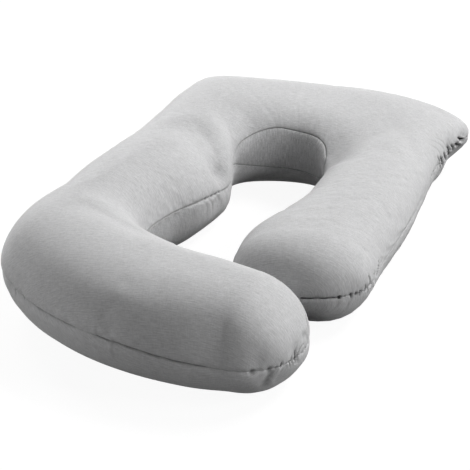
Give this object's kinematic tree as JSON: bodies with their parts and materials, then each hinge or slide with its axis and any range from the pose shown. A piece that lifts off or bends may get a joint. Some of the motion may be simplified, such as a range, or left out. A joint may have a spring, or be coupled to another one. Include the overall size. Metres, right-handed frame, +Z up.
{
  "type": "body pillow",
  "caption": "G-shaped full-length body pillow in knitted jersey, filled and lying flat, with a head bar, a long arm that bends round at the foot and a shorter front arm.",
  "frame": {"origin": "centre of the pillow's plan box, on the surface it lies on", "axes": "+Y from the foot towards the head bar, +X from the long arm towards the short arm, +Z up out of the top panel"},
  "size_m": [0.8252, 1.365, 0.2284],
  "materials": {
    "jersey": "matt heather-grey cotton jersey knit with a fine sideways fleck",
    "gusset_jersey": "the same heather-grey jersey, cut with its fleck upright"
  },
  "bodies": {
    "root": {"pillow": "jersey", "head_gusset": "gusset_jersey"}
  },
  "joints": []
}
